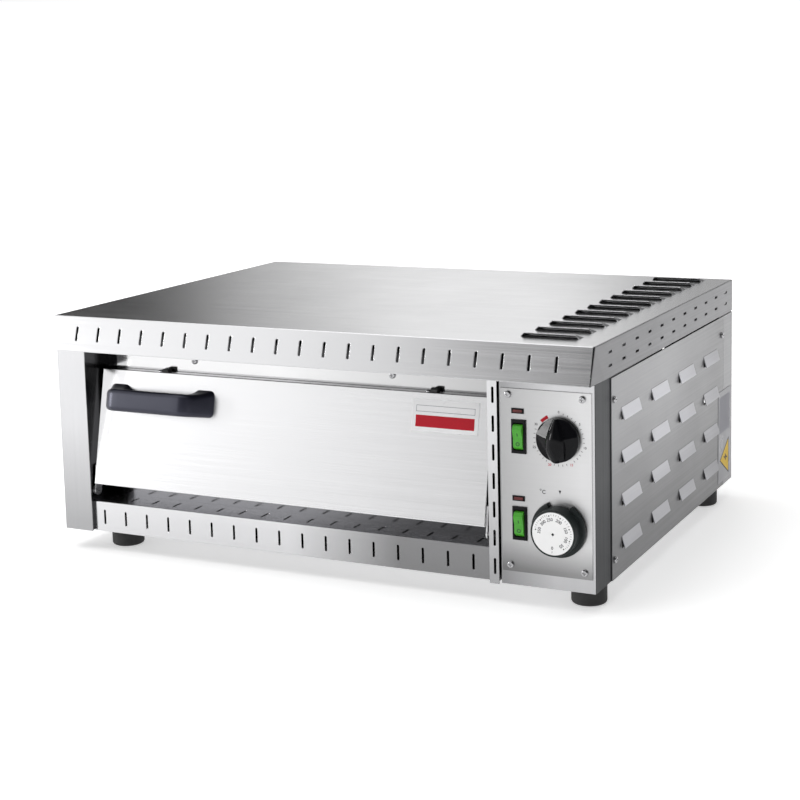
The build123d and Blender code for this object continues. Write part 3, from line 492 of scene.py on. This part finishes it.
def hood_zones():
    """Painted shade on the inside faces of the hood and on the walls of the slots in its sides, and a darker
    strip along the fold at the fascia's right end.
    """
    low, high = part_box("top_cover")
    skin = 0.2 * MM
    side_wall = 1.5 * MM
    fold_width = 1.7 * MM
    fold_depth = 2 * MM
    # Painted shade on the hood's inside faces.
    inside = 0.04, [
        ((1, 0, 0), low.x + skin + side_wall),
        ((-1, 0, 0), skin + side_wall - high.x),
        ((0, -1, 0), skin - high.y),
        ((0, 0, -1), skin + louvre_rise - high.z),
        behind_fascia(skin),
    ]
    slot_skin = 0.15 * MM
    # Painted shade on the walls of the slots in the hood's sides.
    slot_wall_shade = 0.03, [
        ((1, 0, 0), low.x + slot_skin),
        ((-1, 0, 0), slot_skin - high.x),
        ((0, 1, 0), low.y + 30 * MM),
        ((0, 0, -1), 7.5 * MM - high.z),
    ]
    inwards, distance = behind_fascia(fold_depth)
    # A darker strip along the fold at the fascia's right end.
    fold = 0.05, [((1, 0, 0), high.x - fold_width), (-inwards, -distance)]
    return [inside, slot_wall_shade, fold]


def paint_hood():
    """Hood, with painted shade on its sides and in its zones."""
    # Painted shade: a darker colour for the hood's sideways faces.
    side = (0.19, 0.19, 0.197), 0.4
    paint(steel("hood_steel", bright_steel, 0.2, side=side, inside=hood_zones(), edge=1.2 * MM), "top_cover")


def paint_rail():
    """Rail under the door: painted shade behind its face and under its ledge, and towards the right."""
    low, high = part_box("front_rail")
    # Painted shade behind the rail's face and under its ledge.
    inside = 0.04, [((0, 1, 0), low.y + 0.5 * MM), ((0, 0, -1), 0.5 * MM - high.z)]
    # Painted shade that darkens the rail towards the right.
    shade_fade = (1, 0, 0), -0.03, 0.09, 0.35
    paint(steel("rail_steel", bright_steel, 0.2, inside=[inside], shade_fades=[shade_fade]), "front_rail")


def paint_chamber_front():
    """Frame behind the door, with painted shade where the hood, the ledge, the rail and the left post shade
    it, and towards the right.
    """
    # Painted shade where the hood, the ledge, the rail and the left post stand in front of the frame.
    hood_shade = 0.04, [((0, 0, 1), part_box("top_cover")[0].z - 3 * MM)]
    ledge_shade = 0.3, [((0, 0, -1), -door_low.z - 10 * MM)]
    rail_shade = 0.04, [((0, 0, -1), -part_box("front_rail")[1].z)]
    post_shade = 0.04, [((-1, 0, 0), -door_low.x - 10 * MM)]
    shaded = [hood_shade, ledge_shade, rail_shade, post_shade]
    # Painted shade towards the right.
    shade_fade = (1, 0, 0), -0.05, 0.17, 0.6
    paint(steel("lintel_steel", (0.6, 0.6, 0.605), 0.12, inside=shaded, shade_fades=[shade_fade]), "chamber_front")


def paint_side_panel():
    """Right side, with painted shade downwards and towards the back, and painted light on its flaps."""
    # Painted light: the flaps are brighter than the panel.
    flaps = 0.7, [((1, 0, 0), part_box("side_panel")[1].x - 3.2 * MM)]
    # Painted shade downwards and towards the back.
    shade_fades = [((0, 0, -1), -0.16, -0.06, 0.6), ((0, 1, 0), 0.0, 0.17, 0.62)]
    panel = steel("panel_steel", (0.26, 0.26, 0.267), 0.36, anisotropy=0.7, inside=[flaps], shade_fades=shade_fades)
    paint(panel, "side_panel")


def paint_uprights():
    """Posts on both sides of the door, with painted shade on the sides that face the opening, on the slotted
    upright's right flank and towards the bottom.
    """
    left_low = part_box("left_casing")[0]
    right_low, right_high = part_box("slotted_upright")
    # Painted shade on the post faces that face the opening.
    opening = 0.06, [((1, 0, 0), left_low.x + 33 * MM), ((0, 1, 0), left_low.y + MM)]
    # Painted shade on the slotted upright's right flank.
    flank = 0.3, [((1, 0, 0), right_high.x - 1.2 * MM), ((0, 1, 0), right_low.y + 0.4 * MM)]
    # Painted shade towards the bottom.
    shade_fade = (0, 0, -1), -0.13, -0.03, 0.7
    posts = steel("upright_steel", (0.5, 0.5, 0.51), 0.2, grain="Z", inside=[opening, flank], shade_fades=[shade_fade])
    paint(posts, "left_casing", "slotted_upright")


def paint_controls_housing():
    """Housing and plate of the controls, with painted shade on the housing's right side, towards the left on
    both, and on the plate's lower part.
    """
    # Painted shade on the housing's sideways faces.
    painted_dark_side = (0.015, 0.017, 0.02), 0.35
    # Painted shade towards the left of the housing.
    shade_fade = (-1, 0, 0), -0.25, -0.2, 0.55
    paint(steel("housing_steel", dim_steel, 0.2, grain="Z", side=painted_dark_side, shade_fades=[shade_fade]), "control_housing")
    # Painted shade towards the left and the bottom of the plate.
    shade_fades = [((-1, 0, 0), -0.275, -0.2, 0.62), ((0, 0, -1), -0.062, -0.036, 0.45)]
    paint(steel("plate_steel", (0.58, 0.58, 0.585), 0.34, anisotropy=0.2, shade_fades=shade_fades), "control_plate")


def paint_other_sheets():
    """Door skins, and the back, the base and the pieces inside them."""
    door = steel("door_steel", (0.72, 0.72, 0.73), 0.22, anisotropy=0.35)
    paint(door, "door_outer_skin", "door_inner_skin")
    # Painted shade: a darker colour for the sideways faces of these sheets.
    plain = steel("plain_steel", dim_steel, 0.36, anisotropy=0.7, side=((0.2, 0.2, 0.207), 0.36))
    paint(plain, "back_panel", "base_pan", "compartment_wall", "rear_post")


def paint_small_metal():
    """Fasteners, hinge, shafts and the thermostat's probe."""
    screws = polished("zinc_screws", (0.4, 0.4, 0.41), 0.2)
    paint(screws, "lintel_screws", "control_plate_screws", "side_panel_screws", "rear_screws", "foot_screws",
          "door_screws")
    turned = polished("turned_steel", (0.6, 0.6, 0.61), 0.28)
    paint(turned, "hinge_ears", "hinge_pins", "hinge_bushes", "timer_shaft", "thermostat_shaft")
    paint(polished("copper", (0.72, 0.4, 0.26), 0.3), "thermostat_probe")


def paint_chamber():
    """Chamber, heaters, stone and insulation."""
    chamber = heated("chamber_steel", (0.6, 0.58, 0.56), 0.4)
    paint(chamber, "chamber_shell", "stone_supports", "element_supports")
    paint(heated("element_sheath", (0.2, 0.19, 0.18), 0.5), "upper_element", "lower_element")
    paint(fired_stone("fired_stone"), "stone_deck")
    wool = mineral_wool("mineral_wool")
    paint(wool, "insulation_wrap", "insulation_floor", "insulation_rear", "door_insulation")


def paint_mouldings(gloss):
    """Plastic, rubber and label film."""
    paint(gloss, "upper_switch_bezel", "lower_switch_bezel", "lamp_bodies")
    satin = plastic("satin_black", (0.018, 0.023, 0.023), 0.42, 0.2)
    paint(satin, "thermostat_knob", "cable_gland", "timer_body", "thermostat_body", "terminal_block")
    paint(key_green("key_green"), "upper_rocker", "lower_rocker")
    paint(lens_red("lens_red"), "upper_lamp_lens", "lower_lamp_lens")
    paint(label("dial_white", (0.88, 0.88, 0.88), 0.35), "thermostat_dial")
    paint(label("badge_film", (0.93, 0.93, 0.94), 0.3), "badge_plate")
    paint(label("rating_film", (0.2, 0.2, 0.22), 0.3), "rating_plate")
    paint(rubber("rubber_black"), "front_left_foot", "front_right_foot", "rear_left_foot", "rear_right_foot",
          "door_bumpers")


# ---- Pieces --------------------------------------------------------------------------------------

def piece(name, mesh, material, body, slot, *replaced):
    """New piece that rides on a body, takes a material and may stand for CAD nodes. Its slot is not used."""
    mesh.materials.clear()
    mesh.materials.append(material)
    made = bpy.data.objects.new(name, mesh)
    bpy.context.scene.collection.objects.link(made)
    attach(made, body)
    if replaced:
        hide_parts(*replaced)


def mesh_of(name, bm, crease=35):
    """Mesh from a bmesh, smooth except across edges sharper than crease degrees."""
    bmesh.ops.recalc_face_normals(bm, faces=bm.faces)
    mesh = bpy.data.meshes.new(name)
    bm.to_mesh(mesh)
    bm.free()
    mesh.shade_smooth()
    mesh.set_sharp_from_angle(angle=math.radians(crease))
    return mesh


def straight(start, end, steps):
    """Even places from just after the start to the end."""
    return [start.lerp(end, i / steps) for i in range(1, steps + 1)]


def rounded(points, radius, steps):
    """Open polyline with its inner corners rounded: so many steps along each straight and each arc."""
    corners = [Vector(p) for p in points]
    stations = [corners[0]]
    for before, corner, after in zip(corners, corners[1:], corners[2:]):
        back = (before - corner).normalized()
        on = (after - corner).normalized()
        half_turn = back.angle(on) / 2
        reach = radius / math.tan(half_turn)
        middle = corner + (back + on).normalized() * (radius / math.sin(half_turn))
        start = corner + back * reach - middle
        sweep = math.pi - 2 * half_turn
        spin = 1 if start.x * on.y - start.y * on.x > 0 else -1
        stations += straight(stations[-1], middle + start, steps)
        for i in range(1, steps + 1):
            angle = spin * sweep * i / steps
            turned = Vector((start.x * math.cos(angle) - start.y * math.sin(angle),
                             start.x * math.sin(angle) + start.y * math.cos(angle)))
            stations.append(middle + turned)
    return stations + straight(stations[-1], corners[-1], steps)


def rounded_section(width, height, radius):
    """Outline of a rounded rectangle about its middle."""
    steps = 6
    outline = []
    for turn in range(4):
        sx = 1 if turn in (0, 3) else -1
        sy = 1 if turn in (0, 1) else -1
        for i in range(steps + 1):
            angle = math.radians(90 * turn + 90 * i / steps)
            outline.append((sx * (width / 2 - radius) + radius * math.cos(angle),
                            sy * (height / 2 - radius) + radius * math.sin(angle)))
    return outline


def add_handle(material):
    """Bow handle: a bar on two splayed legs that deepen upwards towards the door."""
    length = 124 * MM
    reach = 31 * MM
    splay = 15 * MM               # run of each leg's outer face towards the middle
    outer_radius = 14 * MM
    leg = 23 * MM                 # length of each leg where it meets the door
    inner_reach = 20 * MM
    inner_splay = 6 * MM
    inner_radius = 8 * MM
    bar_height = 22 * MM
    flare = 5 * MM                # extra height of the legs at the door
    flare_reach = 0.8             # share of the reach that flares
    section_radius = 5 * MM
    middle_height = 88 * MM       # above the door's bottom edge
    steps = 12
    end = length / 2
    outer = [(-end, 0), (-end + splay, reach), (end - splay, reach), (end, 0)]
    inner = [(-end + leg, 0), (-end + leg + inner_splay, inner_reach), (end - leg - inner_splay, inner_reach),
             (end - leg, 0)]
    place = on_door(centre("door_handle").x, middle_height)
    bm = bmesh.new()
    rings = []
    for out, inn in zip(rounded(outer, outer_radius, steps), rounded(inner, inner_radius, steps)):
        depth = max(out.y, inn.y) / reach
        rise = flare * max(0.0, 1 - depth / flare_reach) ** 2
        across = out - inn
        radius = min(section_radius, across.length * 0.45)
        ring = []
        for s, v in rounded_section(across.length, bar_height + rise, radius):
            spot = (out + inn) / 2 + across.normalized() * s
            ring.append(bm.verts.new(place @ Vector((spot.x, v + rise / 2, max(spot.y, 0.0)))))
        rings.append(ring)
    for one, two in zip(rings, rings[1:]):
        for i in range(len(one)):
            j = (i + 1) % len(one)
            bm.faces.new((one[i], one[j], two[j], two[i]))
    bm.faces.new(rings[0])
    bm.faces.new(rings[-1])
    piece("handle_bow", mesh_of("handle_bow", bm, 50), material, "door", "black_handle", "door_handle")


# Timer knob, in millimetres from its axis and from its back.

facet_height = 10.6           # where the upper and lower facets meet beside the ridge
facet_start = 5.0
facet_seam = 2.0              # height of the lower facets' top edge above the axis
rim_height = 3.4
ridge_widest = -2.0           # height of the ridge's widest place above the axis
ridge_half = 8.6
pointer_half = 2.4
tail_half = 6.0
crown_height = 15.1


def knob_height(x, z):
    """Height of the timer knob's facets above its back."""
    side = abs(x) - facet_start
    upper = facet_height - 0.36 * side - 0.3 * z
    lower = facet_height - 0.5 * side + 0.33 * (z - facet_seam)
    return max(rim_height, min(upper, lower))


def ridge_half_width(z):
    """Half the ridge's width, narrow at its pointer end."""
    above = z - ridge_widest
    if above > 0:
        return ridge_half - (ridge_half - pointer_half) * (above / 23) ** 1.3
    return ridge_half - (ridge_half - tail_half) * (above / 19) ** 2


def ridge_height(x, z):
    """Height of the ridge's rounded crown above the knob's back."""
    fall_to_end = 8.0 if z > 0 else 8.6
    fall_to_side = 4.6
    crown = crown_height - fall_to_end * (z / 21) ** 2
    return crown - fall_to_side * (x / ridge_half_width(z)) ** 2


def add_timer_knob(material):
    """Round knob with a ridge across it that narrows to its pointer end."""
    low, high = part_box("timer_knob")
    radius = 0.95 * (high.x - low.x) / 2 / MM
    rows = 84
    end_angle = 2.5               # from the knob's top to its first row
    facet_shares = [i / 12 for i in range(13)]
    ridge_shares = [i / 5 for i in range(-5, 6)]
    bm = bmesh.new()
    grid = []
    for row in range(rows + 1):
        z = radius * math.cos(math.radians(end_angle + (180 - 2 * end_angle) * row / rows))
        edge = math.sqrt(radius * radius - z * z)
        ridge = min(ridge_half_width(z), edge * 0.7)
        wall = ridge + (edge - ridge) / radius
        places = [(-edge + (edge - wall) * share, False) for share in facet_shares]
        places += [(ridge * share, True) for share in ridge_shares]
        places += [(wall + (edge - wall) * share, False) for share in facet_shares]
        line = []
        for x, on_ridge in places:
            height = knob_height(x, z)
            if on_ridge:
                height = max(height, ridge_height(x, z))
            spot = (timer_centre.x + x * MM, high.y - height * MM, timer_centre.z + z * MM)
            line.append(bm.verts.new(spot))
        grid.append(line)
    for one, two in zip(grid, grid[1:]):
        for i in range(len(one) - 1):
            bm.faces.new((one[i], one[i + 1], two[i + 1], two[i]))
    right_rim = [line[-1] for line in grid]
    left_rim = [line[0] for line in reversed(grid)]
    rim = right_rim + grid[-1][-2:0:-1] + left_rim + grid[0][1:-1]
    back = [bm.verts.new((v.co.x, high.y, v.co.z)) for v in rim]
    for i in range(len(rim)):
        j = (i + 1) % len(rim)
        bm.faces.new((rim[i], rim[j], back[j], back[i]))
    bm.faces.new(back)
    knob = mesh_of("timer_grip_knob", bm, 28)
    piece("timer_grip_knob", knob, material, "timer_knob", "black_gloss", "timer_knob")


# ---- Printing ------------------------------------------------------------------------------------

class Print:
    """Flat marks of one ink, drawn in millimetres about a middle and laid on a face."""

    thickness = 0.05 * MM
    capital_height = 0.73         # share of the font's size
    boldness = 0.02               # added round each stroke, over the height

    def __init__(self):
        self.bm = bmesh.new()

    def shape(self, points):
        """Closed outline."""
        low = [self.bm.verts.new((x * MM, y * MM, 0)) for x, y in points]
        high = [self.bm.verts.new((x * MM, y * MM, self.thickness)) for x, y in points]
        self.bm.faces.new(high)
        self.bm.faces.new(low[::-1])
        for i in range(len(low)):
            j = (i + 1) % len(low)
            self.bm.faces.new((low[i], low[j], high[j], high[i]))

    def bar(self, angle, start, end, width):
        """Bar along a spoke, its angle clockwise from the top."""
        spoke = Vector((math.sin(math.radians(angle)), math.cos(math.radians(angle))))
        across = Vector((spoke.y, -spoke.x)) * width / 2
        near, far = spoke * start, spoke * end
        self.shape([near - across, near + across, far + across, far - across])

    def dot(self, x, y, radius):
        """Round dot about a point."""
        sides = 20
        turns = [2 * math.pi * i / sides for i in range(sides)]
        self.shape([(x + radius * math.cos(t), y + radius * math.sin(t)) for t in turns])

    def arc(self, x, y, inner, outer, steps, start=0.0, end=360.0):
        """Band between two radii, its angles clockwise from the top, in short pieces."""
        for i in range(steps):
            one, two = (math.radians(start + (end - start) * (i + k) / steps) for k in (0, 1))
            corners = (inner, one), (outer, one), (outer, two), (inner, two)
            self.shape([(x + r * math.sin(a), y + r * math.cos(a)) for r, a in corners])

    def text(self, words, x, y, height, angle=0.0):
        """Characters about a point, turned clockwise."""
        curve = bpy.data.curves.new("words", "FONT")
        curve.body = words
        curve.size = height * MM / self.capital_height
        curve.align_x = "CENTER"
        curve.align_y = "CENTER"
        curve.extrude = self.thickness / 2
        curve.offset = self.boldness * height * MM
        holder = bpy.data.objects.new("words", curve)
        bpy.context.scene.collection.objects.link(holder)
        bpy.context.view_layer.update()
        evaluated = holder.evaluated_get(bpy.context.evaluated_depsgraph_get())
        mesh = bpy.data.meshes.new_from_object(evaluated)
        turn = Matrix.Rotation(-math.radians(angle), 4, "Z")
        mesh.transform(Matrix.Translation((x * MM, y * MM, self.thickness / 2)) @ turn)
        self.bm.from_mesh(mesh)
        bpy.data.objects.remove(holder)
        bpy.data.curves.remove(curve)
        bpy.data.meshes.remove(mesh)

    def lay(self, name, place, material, body, slot):
        """Lay the marks on a face whose frame is place."""
        self.bm.transform(place)
        piece(name, mesh_of(name, self.bm), material, body, slot)


def spoke_place(angle, radius):
    """Place at a radius, its angle clockwise from the top."""
    return radius * math.sin(math.radians(angle)), radius * math.cos(math.radians(angle))


def add_timer_scale(black, red):
    """Thirty minutes round the timer, with its hold mark."""
    place = on_front(timer_centre.x, plate_front, timer_centre.z - 0.4 * MM)
    number_radius = 24.9
    dark = Print()
    bright = Print()
    numbers = {0: 0.0, 5: 52.0, 10: 103.0, 15: 152.0, 20: 201.0, 25: 250.0, 30: 300.0}
    for minute in range(31):
        low = minute - minute % 5
        start = numbers[low]
        end = numbers[min(low + 5, 30)]
        angle = start + (end - start) * (minute - low) / 5
        if minute in numbers:
            ink = bright if minute in (15, 20) else dark
            ink.text(str(minute), *spoke_place(angle, number_radius), 2.3)
        else:
            dark.bar(angle, 22.4, 24.2, 0.45)
    bright.arc(0, 0, 21.0, 24.0, 8, -47, -27)
    dark.lay("timer_scale", place, black, "cabinet", "black_satin")
    bright.lay("timer_red_marks", place, red, "cabinet", "red_lens")


def add_dial_scale(black):
    """Temperatures on the thermostat's dial and the mark that they turn past."""
    marks = {0: 183.0, 50: 142.0, 100: 108.0, 150: 70.0, 200: 26.0, 250: -12.5, 300: -45.0, 350: -81.0}
    number_radius, dot_radius = 12.8, 16.4
    dial = Print()
    for value, angle in marks.items():
        dial.text(str(value), *spoke_place(angle, number_radius), 2.9, angle)
        if value:
            dial.dot(*spoke_place(angle, dot_radius), 0.62)
        else:
            dial.bar(angle, 15.8, 17.6, 0.35)
    for value in range(50, 350, 50):
        start = marks[value]
        step = (marks[value + 50] - start) / 5
        for i in range(1, 5):
            dial.bar(start + step * i, 16.2, 17.8, 0.28)
    dial.shape([(0, -2.2), (1.5, -0.6), (0, 1.0), (-1.5, -0.6)])
    dial_place = on_front(thermostat_centre.x, dial_front + 0.03 * MM, thermostat_centre.z)
    dial.lay("thermostat_scale", dial_place, black, "thermostat_knob", "black_satin")
    mark = Print()
    mark.shape([(-0.5, 35.2), (1.9, 35.2), (0.7, 31.6)])
    mark.arc(-17.6, 34.3, 0.5, 0.85, 16)
    mark.text("C", -14.6, 32.4, 3.6)
    mark_place = on_front(thermostat_centre.x, plate_front, thermostat_centre.z)
    mark.lay("thermostat_mark", mark_place, black, "cabinet", "black_satin")


def add_rocker_marks(black):
    """On and off marks moulded into both rockers."""
    rest_tilt = math.radians(9)
    face_tilt = math.atan(1.1 / 7.2)
    pivot_to_face = 5.9
    for level in ("upper", "lower"):
        pivot = Matrix.Translation(pivots[level + "_switch"]) @ Matrix.Rotation(rest_tilt, 4, "X")
        for word, height, side in (("on", 3.4, 1), ("off", -5.4, -1)):
            rest = pivot_to_face + abs(height) * math.tan(face_tilt)
            turn = Matrix.Rotation(side * face_tilt, 4, "X")
            place = pivot @ on_front(0, -rest * MM, height * MM) @ turn
            mark = Print()
            if word == "on":
                mark.bar(0, -1.6, 1.6, 0.8)
            else:
                mark.arc(0, 0, 1.2, 1.85, 28)
            mark.lay(f"{level}_{word}_mark", place, black, level + "_rocker", "black_satin")


def add_badge(red, grey):
    """Plain stripe under a blank frame on the door's badge."""
    leaning = Matrix.Translation(centre("badge_plate")) @ FACING_FRONT @ Matrix.Rotation(-door_lean, 4, "X")
    face = leaning @ Matrix.Translation((0, 0, 0.16 * MM))
    stripe = Print()
    stripe.shape([(-30, -11), (30, -11), (30, 0), (-30, 0)])
    stripe.lay("badge_stripe", face, red, "door", "red_lens")
    lines = Print()
    for bottom, top in ((3.2, 3.6), (8.8, 9.2)):
        lines.shape([(-30, bottom), (30, bottom), (30, top), (-30, top)])
    for left in (-30, 29.6):
        lines.shape([(left, 3.6), (left + 0.4, 3.6), (left + 0.4, 8.8), (left, 8.8)])
    lines.lay("badge_frame", face, grey, "door", "label_grey")


def add_rating_marks(grey, yellow, black):
    """Blank field and a triangle with a bolt, on its side, on the rating plate."""
    low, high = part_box("rating_plate")
    facing_right = Matrix.Rotation(math.radians(90), 4, "Z") @ FACING_FRONT
    face = Matrix.Translation((high.x, (low.y + high.y) / 2, (low.z + high.z) / 2)) @ facing_right
    sign = face @ Matrix.Translation((4 * MM, -26 * MM, 0)) @ Matrix.Rotation(math.radians(90), 4, "Z")
    outer = [(-20.5, -12.5), (20.5, -12.5), (0, 22.8)]
    inner = [(-18, -11), (18, -11), (0, 20)]
    field = Print()
    field.shape([(-20, 4), (20, 4), (20, 44), (-20, 44)])
    field.lay("rating_field", face, grey, "cabinet", "label_grey")
    triangle = Print()
    triangle.shape(inner)
    triangle.lay("rating_triangle", sign, yellow, "cabinet", "label_grey")
    border = Print()
    for i, j in ((0, 1), (1, 2), (2, 0)):
        border.shape([outer[i], outer[j], inner[j], inner[i]])
    border.lay("rating_triangle_edge", sign, black, "cabinet", "black_satin")
    bolt = Print()
    bolt.shape([(2.5, 8), (-4.5, -1.5), (-0.5, -0.8), (-2.5, -8), (4.5, 1.8), (0.5, 1.0)])
    bolt.lay("rating_bolt", sign @ Matrix.Translation((0, 0, 0.06 * MM)), black, "cabinet", "black_satin")


# ---- Scene ---------------------------------------------------------------------------------------

add_camera()
add_floor()
add_lights()
add_sky()

gloss_black = plastic("gloss_black", (0.004, 0.004, 0.005), 0.12, 0.12, depth=0.002 * MM)
handle_black = plastic("handle_black", (0.007, 0.007, 0.015), 0.42, 0.6, grain=2200.0, tint=(0.8, 0.82, 1))
paint_hood()
paint_rail()
paint_chamber_front()
paint_side_panel()
paint_uprights()
paint_controls_housing()
paint_other_sheets()
paint_small_metal()
paint_chamber()
paint_mouldings(gloss_black)
add_handle(handle_black)
add_timer_knob(gloss_black)

ink_black = printed("ink_black", (0.03, 0.03, 0.035))
ink_red = printed("ink_red", (0.5, 0.012, 0.025))
ink_grey = printed("ink_grey", (0.27, 0.27, 0.3))
ink_yellow = printed("ink_yellow", (0.75, 0.5, 0.04))
add_timer_scale(ink_black, ink_red)
add_dial_scale(ink_black)
add_rocker_marks(ink_black)
add_badge(ink_red, ink_grey)
add_rating_marks(ink_grey, ink_yellow, ink_black)

bpy.context.scene.view_settings.view_transform = "Standard"
bpy.context.scene.cycles.use_denoising = True
